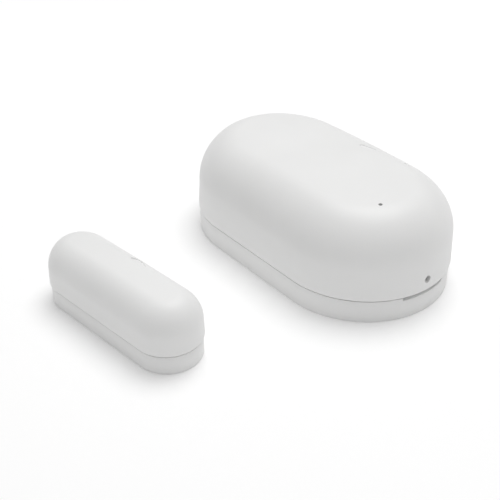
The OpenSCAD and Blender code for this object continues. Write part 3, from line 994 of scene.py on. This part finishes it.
class SENSOR_OT_light_pipe(bpy.types.Operator):
    """Clear pipe that carries the status light to the top of the cover"""

    bl_idname = "sensor.light_pipe"
    bl_label = "Light pipe"

    def execute(self, context):
        low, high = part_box("light_pipe")
        centre = middle("light_pipe")
        length = high.z - low.z
        rod, flange, tip = 1.2 * MM, 2.0 * MM, 0.32 * MM
        flange_z = length - 2.6 * MM
        profile = [(0, 0.25 * MM), (0.6 * MM, 0.05 * MM), (rod - 0.1 * MM, 0),
                   (rod, 0.1 * MM), (rod, flange_z - 0.1 * MM), (flange - 0.1 * MM, flange_z),
                   (flange, flange_z + 0.1 * MM), (flange, flange_z + 0.5 * MM),
                   (flange - 0.1 * MM, flange_z + 0.6 * MM), (rod, flange_z + 0.65 * MM),
                   (rod, flange_z + MM), (tip, flange_z + 1.05 * MM),
                   (tip, length - 0.25 * MM), (tip * 0.7, length - 0.08 * MM), (0, length)]
        bm = bmesh.new()
        add_lathe(bm, profile, (centre.x, centre.y, low.z), sides=40)
        pipe = as_object("light_guide", bm)
        finish_piece(pipe, SENSOR_COVER, ["light_pipe"], ["clear_acrylic"])
        return {"FINISHED"}


class SENSOR_OT_battery(bpy.types.Operator):
    """Battery holder and the lithium cell in it"""

    bl_idname = "sensor.battery"
    bl_label = "Battery"

    def execute(self, context):
        bm = bmesh.new()
        add_cad_copy(bm, "battery_holder")
        holder = round_edges(as_object("cell_holder", bm), 0.15 * MM)
        finish_piece(holder, SENSOR, ["battery_holder"], ["holder_black"])
        low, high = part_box("battery_cell")
        centre = middle("battery_cell")
        radius = (high.z - low.z) / 2
        length = high.x - low.x
        can, nub = radius - 0.12 * MM, 3 * MM
        shoulder = length - 0.8 * MM
        bm = bmesh.new()
        sleeve = [(can - 1.6 * MM, 0.02 * MM), (radius - 0.35 * MM, 0.0), (radius, 0.35 * MM),
                  (radius, shoulder - 0.4 * MM), (radius - 0.4 * MM, shoulder),
                  (can - 1.3 * MM, shoulder - 0.02 * MM), (can - 1.3 * MM, shoulder - 0.3 * MM),
                  (can - 1.6 * MM, shoulder - 0.3 * MM), (can - 1.6 * MM, 0.02 * MM)]
        steel = [(0, 0.12 * MM), (can - 1.65 * MM, 0.12 * MM), (can - 1.65 * MM, MM),
                 (can - 1.65 * MM, shoulder - 0.6 * MM), (can - 2.1 * MM, shoulder - 0.25 * MM),
                 (nub + 0.9 * MM, shoulder - 0.25 * MM), (nub + 0.25 * MM, shoulder - 0.12 * MM),
                 (nub, shoulder + 0.1 * MM), (nub, length - 0.25 * MM),
                 (nub - 0.25 * MM, length), (0, length)]
        start = (low.x, centre.y, centre.z)
        add_lathe(bm, sleeve, start, (1, 0, 0), sides=96, index=0)
        add_lathe(bm, steel, start, (1, 0, 0), sides=96, index=1)
        cell = as_object("lithium_cell", bm)
        finish_piece(cell, SENSOR, ["battery_cell"],
                     ["cell_sleeve", "cell_steel"])
        return {"FINISHED"}


class SENSOR_OT_contacts(bpy.types.Operator):
    """Coil spring, contact strip and contact plate"""

    bl_idname = "sensor.contacts"
    bl_label = "Battery contacts"

    def execute(self, context):
        low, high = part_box("negative_spring")
        centre = middle("battery_cell")
        wire = 0.28 * MM
        spring = empty_object("coil_spring")
        grow(spring, spring_tree(), turns=3.0, wide_radius=4.4 * MM, narrow_radius=2.4 * MM,
             reach=high.x - low.x - 2 * wire, wire_radius=wire, finish=paint("spring_steel"))
        turn = Matrix.Rotation(RIGHT_ANGLE, 4, "Y")
        spring.data.transform(Matrix.Translation((low.x + wire, centre.y, centre.z)) @ turn)
        finish_piece(spring, SENSOR, ["negative_spring"])
        for node, name in (("negative_strip", "minus_strip"), ("positive_contact", "plus_plate")):
            bm = bmesh.new()
            add_cad_copy(bm, node)
            strip = round_edges(as_object(name, bm), 0.06 * MM)
            finish_piece(strip, SENSOR, [node], ["contact_nickel"])
        return {"FINISHED"}


class SENSOR_OT_board(bpy.types.Operator):
    """Circuit board with its pads, vias and solder joints"""

    bl_idname = "sensor.board"
    bl_label = "Circuit board"

    def execute(self, context):
        bm = bmesh.new()
        add_cad_copy(bm, "circuit_board")
        bm.normal_update()
        for face in bm.faces:
            face.material_index = 0 if abs(face.normal.z) > 0.5 else 1
        board = as_object("main_board", bm)
        finish_piece(board, SENSOR, ["circuit_board"],
                     ["board_green", "board_edge"])
        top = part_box("circuit_board")[1].z
        self.joints(top)
        self.vias(top)
        return {"FINISHED"}

    @staticmethod
    def joints(top):
        """Domes of solder round the legs that come through the board."""
        bm = bmesh.new()
        add_lathe(bm, [(1.0, 0), (0.92, 0.16), (0.62, 0.36), (0.42, 0.75), (0, 0.8)],
                  (0, 0, 0), sides=20)
        shape = as_object("joint_shape", bm)
        reed = middle("reed_leads")
        reach = size_of("reed_leads").x / 2 - 0.3 * MM
        reset = middle("reset_switch_body")
        tamper = middle("tamper_switch_body")
        spots = [(reed.x - reach, reed.y), (reed.x + reach, reed.y)]
        spots += [(reset.x - MM, reset.y + dy) for dy in (-3.9 * MM, 3.9 * MM)]
        spots += [(tamper.x + dx, tamper.y + dy) for dx in (-2.5 * MM, 2.5 * MM)
                  for dy in (-1.2 * MM, 1.2 * MM)]
        size = (0.62 * MM, 0.62 * MM, 0.6 * MM)
        joints = repeat("solder_joints", shape, [((x, y, top), size, 0.0) for x, y in spots],
                        "solder")
        for face in joints.data.polygons:
            face.use_smooth = True
        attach(joints, SENSOR)

    @staticmethod
    def vias(top):
        """Small gold rings where tracks change sides."""
        bm = bmesh.new()
        add_lathe(bm, [(0.5, 0), (1.0, 0), (0.95, 0.05), (0.55, 0.05), (0.5, 0)], (0, 0, 0),
                  sides=14)
        shape = as_object("via_shape", bm)
        spots = [(-5 + 2.1 * i, 11.0) for i in range(6)]
        for column in range(4):
            aside = 5.4 if column > 2 else 0
            spots += [(9.6 + 1.5 * column + 0.3 * (row % 2), -6.0 + 1.1 * row - aside)
                      for row in range(3)]
        size = (0.3 * MM, 0.3 * MM, 0.4 * MM)
        rings = repeat("board_vias", shape, [((x * MM, y * MM, top), size, 0.0) for x, y in spots],
                       "gold_pad")
        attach(rings, SENSOR)


class SENSOR_OT_radio(bpy.types.Operator):
    """Radio module, its shield and the antenna"""

    bl_idname = "sensor.radio"
    bl_label = "Radio"

    def execute(self, context):
        low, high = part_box("radio_module")
        bm = bmesh.new()
        add_box(bm, low, high, 0.05 * MM, index=0)
        module = as_object("radio_carrier", bm)
        finish_piece(module, SENSOR, ["radio_module"], ["module_blue"])
        self.half_holes(low, high)
        low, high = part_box("radio_shield")
        bm = bmesh.new()
        add_box(bm, low, high, 0.3 * MM, steps=4)
        shield = as_object("shield_can", bm)
        holes = bmesh.new()
        quarters = (0.25, 0.5, 0.75)
        for i in quarters:
            for j in quarters:
                x = low.x + (high.x - low.x) * i
                y = low.y + (high.y - low.y) * j
                add_lathe(holes, rod_profile(0.35 * MM, MM, 0.02 * MM), (x, y, high.z - 0.4 * MM),
                          sides=20)
        combine(shield, as_object("shield_holes", holes), "DIFFERENCE")
        finish_piece(shield, SENSOR, ["radio_shield"], ["tinned_steel"])
        bm = bmesh.new()
        add_cad_copy(bm, "antenna")
        aerial = round_edges(as_object("aerial_strip", bm), 0.08 * MM)
        finish_piece(aerial, SENSOR, ["antenna"], ["tinned_steel"])
        return {"FINISHED"}

    @staticmethod
    def half_holes(low, high):
        """Plated edge contacts along two sides of the module."""
        bm = bmesh.new()
        add_box(bm, (-0.5, -0.5, 0), (0.5, 0.5, 1), 0.12, steps=2)
        shape = as_object("contact_shape", bm)
        count = 8
        size = (0.36 * MM, 0.8 * MM, high.z - low.z + 0.02 * MM)
        points = []
        for i in range(count):
            y = low.y + (high.y - low.y) * (i + 0.7) / (count + 0.4)
            points += [((x, y, low.z), size, 0.0) for x in (low.x, high.x)]
        pads = repeat("module_contacts", shape, points, "gold_pad")
        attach(pads, SENSOR)


class SENSOR_OT_reed(bpy.types.Operator):
    """Reed switch: glass tube, leads and blades"""

    bl_idname = "sensor.reed"
    bl_label = "Reed switch"

    def execute(self, context):
        low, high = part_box("reed_glass")
        centre = middle("reed_glass")
        length = high.x - low.x
        radius = (high.z - low.z) / 2
        inner = 0.75 * MM
        neck = 0.38 * MM
        outer = [(neck, 0.0), (0.8 * MM, 0.25 * MM), (radius - 0.05 * MM, 1.2 * MM),
                 (radius, 2 * MM)]
        outer += [(r, length - h) for r, h in reversed(outer)]
        bore = [(neck, length), (neck, length - 1.9 * MM), (inner, length - 2.6 * MM),
                (inner, 2.6 * MM), (neck, 1.9 * MM), (neck, 0.0)]
        bm = bmesh.new()
        add_lathe(bm, outer + bore, (low.x, centre.y, centre.z), (1, 0, 0), sides=48)
        glass = as_object("reed_tube", bm)
        finish_piece(glass, SENSOR, ["reed_glass"], ["reed_glass"], sharp=60)
        low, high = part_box("reed_leads")
        wire = 0.3 * MM
        foot = low.z + 0.02 * MM
        bm = bmesh.new()
        for side in (-1, 1):
            far = centre.x + side * ((high.x - low.x) / 2 - wire)
            corner = Vector((far, centre.y, centre.z))
            start = Vector((centre.x + side * 4.4 * MM, centre.y, centre.z))
            end = Vector((far, centre.y, foot))
            path = [start, *arc_path(corner, start, end, 0.9 * MM), end]
            add_tube(bm, path, wire * 0.95, sides=14)
            z = centre.z + (0.06 if side > 0 else -0.2) * MM
            ends = sorted((centre.x - side * 0.8 * MM, centre.x + side * 4.8 * MM))
            add_box(bm, (ends[0], centre.y - 0.3 * MM, z),
                    (ends[1], centre.y + 0.3 * MM, z + 0.14 * MM), 0.04 * MM)
        leads = as_object("reed_wires", bm)
        finish_piece(leads, SENSOR, ["reed_leads"], ["tinned_lead"])
        return {"FINISHED"}


class SENSOR_OT_small_parts(bpy.types.Operator):
    """Crystal, capacitor, chip parts and status LED"""

    bl_idname = "sensor.small_parts"
    bl_label = "Small parts"

    def execute(self, context):
        self.crystal()
        self.capacitor()
        self.chips()
        self.led()
        return {"FINISHED"}

    @staticmethod
    def crystal():
        """Round crystal can with a rolled seam near one end."""
        low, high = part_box("quartz_crystal")
        centre = middle("quartz_crystal")
        radius = (high.z - low.z) / 2
        profile = rod_profile(radius, high.x - low.x, 0.3 * MM, steps=5)
        profile.insert(-5, (radius, high.x - low.x - 0.9 * MM))
        profile.insert(-5, (radius - 0.08 * MM, high.x - low.x - 0.75 * MM))
        bm = bmesh.new()
        add_lathe(bm, profile, (low.x, centre.y, centre.z), (1, 0, 0), sides=40)
        can = as_object("crystal_can", bm)
        finish_piece(can, SENSOR, ["quartz_crystal"], ["crystal_can"])

    @staticmethod
    def capacitor():
        """Moulded capacitor block with folded tinned ends."""
        low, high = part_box("storage_capacitor")
        bm = bmesh.new()
        add_box(bm, low + Vector((0.12, 0, 0.08)) * MM, high - Vector((0.12, 0, 0)) * MM,
                0.18 * MM, steps=3)
        for side, x in ((1, low.x), (-1, high.x)):
            ends = sorted((x, x + side * 0.75 * MM))
            add_box(bm, (ends[0], low.y + 0.35 * MM, low.z),
                    (ends[1], high.y - 0.35 * MM, low.z + 0.14 * MM), 0.03 * MM, index=1)
            ends = sorted((x, x + side * 0.14 * MM))
            add_box(bm, (ends[0], low.y + 0.35 * MM, low.z),
                    (ends[1], high.y - 0.35 * MM, low.z + 1.1 * MM), 0.03 * MM, index=1)
        body = as_object("tantalum_block", bm)
        finish_piece(body, SENSOR, ["storage_capacitor"],
                     ["tantalum_orange", "tinned_steel"])

    @staticmethod
    def chips():
        """Chip resistors and capacitors: one shape with tinned ends, set at each CAD place."""
        bm = bmesh.new()
        add_box(bm, (-0.36, -0.48, 0.02), (0.36, 0.48, 0.98), 0.04, index=0)
        for side in (-1, 1):
            ends = sorted((side * 0.5, side * 0.34))
            add_box(bm, (ends[0], -0.5, 0), (ends[1], 0.5, 1), 0.05, index=1)
        shape = as_object("chip_shape", bm)
        copy = bmesh.new()
        copy.from_mesh(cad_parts["surface_components"].data)
        bmesh.ops.remove_doubles(copy, verts=copy.verts, dist=0.002 * MM)
        points = []
        seen = set()
        for vert in copy.verts:
            if vert in seen:
                continue
            island, queue = set(), [vert]
            while queue:
                here = queue.pop()
                if here not in island:
                    island.add(here)
                    queue += [edge.other_vert(here) for edge in here.link_edges]
            seen |= island
            low = Vector([min(v.co[k] for v in island) for k in range(3)])
            high = Vector([max(v.co[k] for v in island) for k in range(3)])
            size = high - low
            turn = 0.0
            if size.y > size.x:
                turn = RIGHT_ANGLE
                size = Vector((size.y, size.x, size.z))
            points.append((((low.x + high.x) / 2, (low.y + high.y) / 2, low.z), size, turn))
        copy.free()
        chips = repeat("chip_parts", shape, sorted(points, key=lambda point: point[0]),
                       "chip_tan", "tinned_steel")
        finish_piece(chips, SENSOR, ["surface_components"])

    @staticmethod
    def led():
        """Status LED: lens, carrier and two gold pads."""
        low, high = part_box("status_led")
        bm = bmesh.new()
        add_box(bm, low, (high.x, high.y, low.z + 0.5 * MM), 0.05 * MM, index=1)
        add_box(bm, low + Vector((0.5, 0.1, 0.4)) * MM, high - Vector((0.5, 0.1, 0)) * MM,
                0.22 * MM, steps=4, index=0)
        for x in (low.x - 0.02 * MM, high.x - 0.5 * MM):
            add_box(bm, (x, low.y - 0.02 * MM, low.z),
                    (x + 0.52 * MM, high.y + 0.02 * MM, low.z + 0.2 * MM), 0.03 * MM, index=2)
        lamp = as_object("indicator_lamp", bm)
        finish_piece(lamp, SENSOR, ["status_led"],
                     ["led_lens", "plunger_white", "gold_pad"])


class SENSOR_OT_switches(bpy.types.Operator):
    """Reset and tamper switches with their plungers"""

    bl_idname = "sensor.switches"
    bl_label = "Switches"

    def execute(self, context):
        for node, name in (("reset_switch_body", "reset_switch"),
                           ("tamper_switch_body", "tamper_switch")):
            bm = bmesh.new()
            add_cad_copy(bm, node)
            body = round_edges(as_object(name, bm), 0.15 * MM)
            finish_piece(body, SENSOR, [node], ["switch_black"])
            self.frame_plate(node, name)
        low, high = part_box("reset_plunger")
        centre = middle("reset_plunger")
        bm = bmesh.new()
        add_lathe(bm, rod_profile((high.z - low.z) / 2, high.x - low.x, 0.2 * MM),
                  (low.x, centre.y, centre.z), (1, 0, 0), sides=40)
        tip = as_object("reset_pin", bm)
        finish_piece(tip, RESET, ["reset_plunger"], ["plunger_white"])
        low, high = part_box("tamper_plunger")
        centre = middle("tamper_plunger")
        bm = bmesh.new()
        add_lathe(bm, rod_profile((high.x - low.x) / 2, high.z - low.z, 0.2 * MM),
                  (centre.x, centre.y, low.z), sides=40)
        tip = as_object("tamper_pin", bm)
        finish_piece(tip, TAMPER, ["tamper_plunger"], ["plunger_white"])
        return {"FINISHED"}

    @staticmethod
    def frame_plate(node, name):
        """Stamped legs that hold a switch to the board."""
        low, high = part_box(node)
        bm = bmesh.new()
        middle_x = (low.x + high.x) / 2
        if node == "reset_switch_body":
            for y in (low.y - 0.22 * MM, high.y + 0.02 * MM):
                add_box(bm, (middle_x - 0.9 * MM, y, low.z),
                        (middle_x + 0.9 * MM, y + 0.2 * MM, high.z - 0.8 * MM), 0.05 * MM)
        else:
            for x in (low.x - 0.22 * MM, high.x + 0.02 * MM):
                for y in (low.y + 0.5 * MM, high.y - 1.1 * MM):
                    add_box(bm, (x, y, low.z), (x + 0.2 * MM, y + 0.6 * MM, low.z + 1.6 * MM),
                            0.05 * MM)
        legs = as_object(name + "_legs", bm)
        finish_piece(legs, SENSOR, [], ["tinned_steel"])


class SENSOR_OT_screws(bpy.types.Operator):
    """Screws that hold the circuit board"""

    bl_idname = "sensor.screws"
    bl_label = "Board screws"

    def execute(self, context):
        low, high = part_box("board_screws")
        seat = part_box("circuit_board")[1].z + 0.05 * MM
        head, shank, head_h = 1.8 * MM, 0.92 * MM, high.z - seat
        depth = seat - low.z
        profile = [(0, -depth), (0.4 * MM, -depth), (0.7 * MM, -depth + 0.5 * MM)]
        turns = 7
        for i in range(turns):
            z = -depth + 0.6 * MM + i * (depth - 0.7 * MM) / turns
            profile += [(shank * 0.82, z), (shank, z + 0.12 * MM), (shank * 0.82, z + 0.24 * MM)]
        profile += [(shank * 0.82, 0), (head - 0.1 * MM, 0), (head, 0.12 * MM),
                    (head, head_h * 0.45), (head * 0.86, head_h * 0.8),
                    (head * 0.5, head_h * 0.97), (0, head_h)]
        bm = bmesh.new()
        add_lathe(bm, profile, (0, 0, 0), sides=48)
        shape = as_object("screw_shape", bm)
        for turn in (0, RIGHT_ANGLE):
            slot = bmesh.new()
            add_box(slot, (-1.05 * MM, -0.2 * MM, head_h * 0.4),
                    (1.05 * MM, 0.2 * MM, head_h * 1.4), 0.03 * MM,
                    place=Matrix.Rotation(turn, 4, "Z"))
            combine(shape, as_object("slot_shape", slot), "DIFFERENCE")
        inset = head
        places = [((low.x + inset, high.y - inset, seat), (1, 1, 1), 0.4),
                  ((high.x - inset, low.y + inset, seat), (1, 1, 1), 1.1)]
        screws = repeat("cross_screws", shape, places, "screw_zinc")
        finish_piece(screws, SENSOR, ["board_screws"])
        return {"FINISHED"}


class SENSOR_OT_magnet(bpy.types.Operator):
    """Bar magnet in the magnet unit"""

    bl_idname = "sensor.magnet"
    bl_label = "Bar magnet"

    def execute(self, context):
        low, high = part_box("bar_magnet")
        half_l, half_w = 10 * MM, 3 * MM
        bm = bmesh.new()
        add_box(bm, (-half_l, -half_w, low.z), (half_l, half_w, high.z), 0.35 * MM, steps=3,
                place=magnet_place())
        bar = as_object("magnet_bar", bm)
        finish_piece(bar, MAGNET, ["bar_magnet"], ["magnet_nickel"])
        return {"FINISHED"}


class SENSOR_OT_stage(bpy.types.Operator):
    """Floor, light and camera"""

    bl_idname = "sensor.stage"
    bl_label = "Stage"

    def execute(self, context):
        scene = context.scene
        studio = scene.sensor_studio
        bm = bmesh.new()
        floor_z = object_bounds()[0][2] - 0.02 * MM
        bmesh.ops.create_grid(bm, x_segments=2, y_segments=2, size=30.0,
                              matrix=Matrix.Translation((0, 0, floor_z)))
        mesh = bpy.data.meshes.new("floor")
        bm.to_mesh(mesh)
        bm.free()
        floor = bpy.data.objects.new("floor", mesh)
        scene.collection.objects.link(floor)
        floor.data.materials.append(paint("floor"))
        floor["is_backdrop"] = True
        self.sky(scene, studio)
        self.lamp("key_light", studio, side=150, height=74, away=0.7, width=0.5,
                  power=studio.key_power)
        self.camera(scene, studio)
        scene.view_settings.view_transform = "Standard"
        scene.view_settings.look = "None"
        return {"FINISHED"}

    @staticmethod
    def sky(scene, studio):
        """White light from all round, weaker near the horizon than overhead."""
        world = bpy.data.worlds.new("studio")
        world.use_nodes = True
        world.node_tree.nodes.clear()
        graph = Graph(world.node_tree)
        way = graph.node("ShaderNodeTexCoord", output="Generated")
        height = graph.node("ShaderNodeSeparateXYZ", {}, {0: way}, output="Z")
        level = graph.remap(height, 0.25, 0.45, studio.horizon, studio.zenith)
        light = graph.node("ShaderNodeBackground", {}, {"Color": (1, 1, 1, 1),
                                                        "Strength": level})
        graph.node("ShaderNodeOutputWorld", {}, {"Surface": light})
        scene.world = world

    @staticmethod
    def direction(azimuth, elevation):
        """From the object towards a point at that azimuth and elevation."""
        return Vector((math.sin(azimuth) * math.cos(elevation),
                       -math.cos(azimuth) * math.cos(elevation), math.sin(elevation)))

    def lamp(self, name, studio, side, height, away, width, power):
        """A round soft light, placed by its angles from the camera's own side."""
        data = bpy.data.lights.new(name, "AREA")
        data.shape = "DISK"
        data.size = width
        data.energy = power
        lamp = bpy.data.objects.new(name, data)
        bpy.context.scene.collection.objects.link(lamp)
        way = self.direction(studio.azimuth + math.radians(side), math.radians(height))
        lamp.location = Vector(studio.aim) + way * away
        lamp.rotation_euler = (-way).to_track_quat("-Z", "Y").to_euler()

    def camera(self, scene, studio):
        """A camera that looks at its aim from its own angles and distance."""
        data = bpy.data.cameras.new("camera")
        data.sensor_width = 36
        data.lens = studio.lens
        data.clip_start = 0.01
        camera = bpy.data.objects.new("camera", data)
        scene.collection.objects.link(camera)
        way = self.direction(studio.azimuth, studio.elevation)
        camera.location = Vector(studio.aim) + way * studio.distance
        camera.rotation_euler = (-way).to_track_quat("-Z", "Y").to_euler()
        scene.camera = camera


class SENSOR_PT_panel(bpy.types.Panel):
    """Lists the steps and settings of the sensor"""

    bl_idname = "SENSOR_PT_panel"
    bl_label = "Door contact sensor"
    bl_space_type = "VIEW_3D"
    bl_region_type = "UI"
    bl_category = "Contact Sensor"

    def draw(self, context):
        column = self.layout.column(align=True)
        for step in STEPS:
            column.operator(step.bl_idname)
        for group in (context.scene.sensor_shape, context.scene.sensor_finishes,
                      context.scene.sensor_studio):
            box = self.layout.box()
            for name in group.bl_rna.properties.keys():
                if name not in ("name", "rna_type"):
                    box.prop(group, name)


SETTINGS = {"sensor_shape": SensorShape, "sensor_finishes": SensorFinishes,
            "sensor_studio": SensorStudio}
STEPS = (SENSOR_OT_stage, SENSOR_OT_covers, SENSOR_OT_bases, SENSOR_OT_pads,
         SENSOR_OT_light_pipe, SENSOR_OT_battery, SENSOR_OT_contacts, SENSOR_OT_board,
         SENSOR_OT_radio, SENSOR_OT_reed, SENSOR_OT_small_parts, SENSOR_OT_switches,
         SENSOR_OT_screws, SENSOR_OT_magnet)


def register():
    for name, group in SETTINGS.items():
        bpy.utils.register_class(group)
        setattr(bpy.types.Scene, name, bpy.props.PointerProperty(type=group))
    for kind in (*STEPS, SENSOR_PT_panel):
        bpy.utils.register_class(kind)


def unregister():
    for kind in reversed((*STEPS, SENSOR_PT_panel)):
        bpy.utils.unregister_class(kind)
    for name, group in SETTINGS.items():
        delattr(bpy.types.Scene, name)
        bpy.utils.unregister_class(group)


def main():
    register()
    for step in STEPS:
        family, name = step.bl_idname.split(".")
        getattr(getattr(bpy.ops, family), name)()


if __name__ == "__main__":
    main()
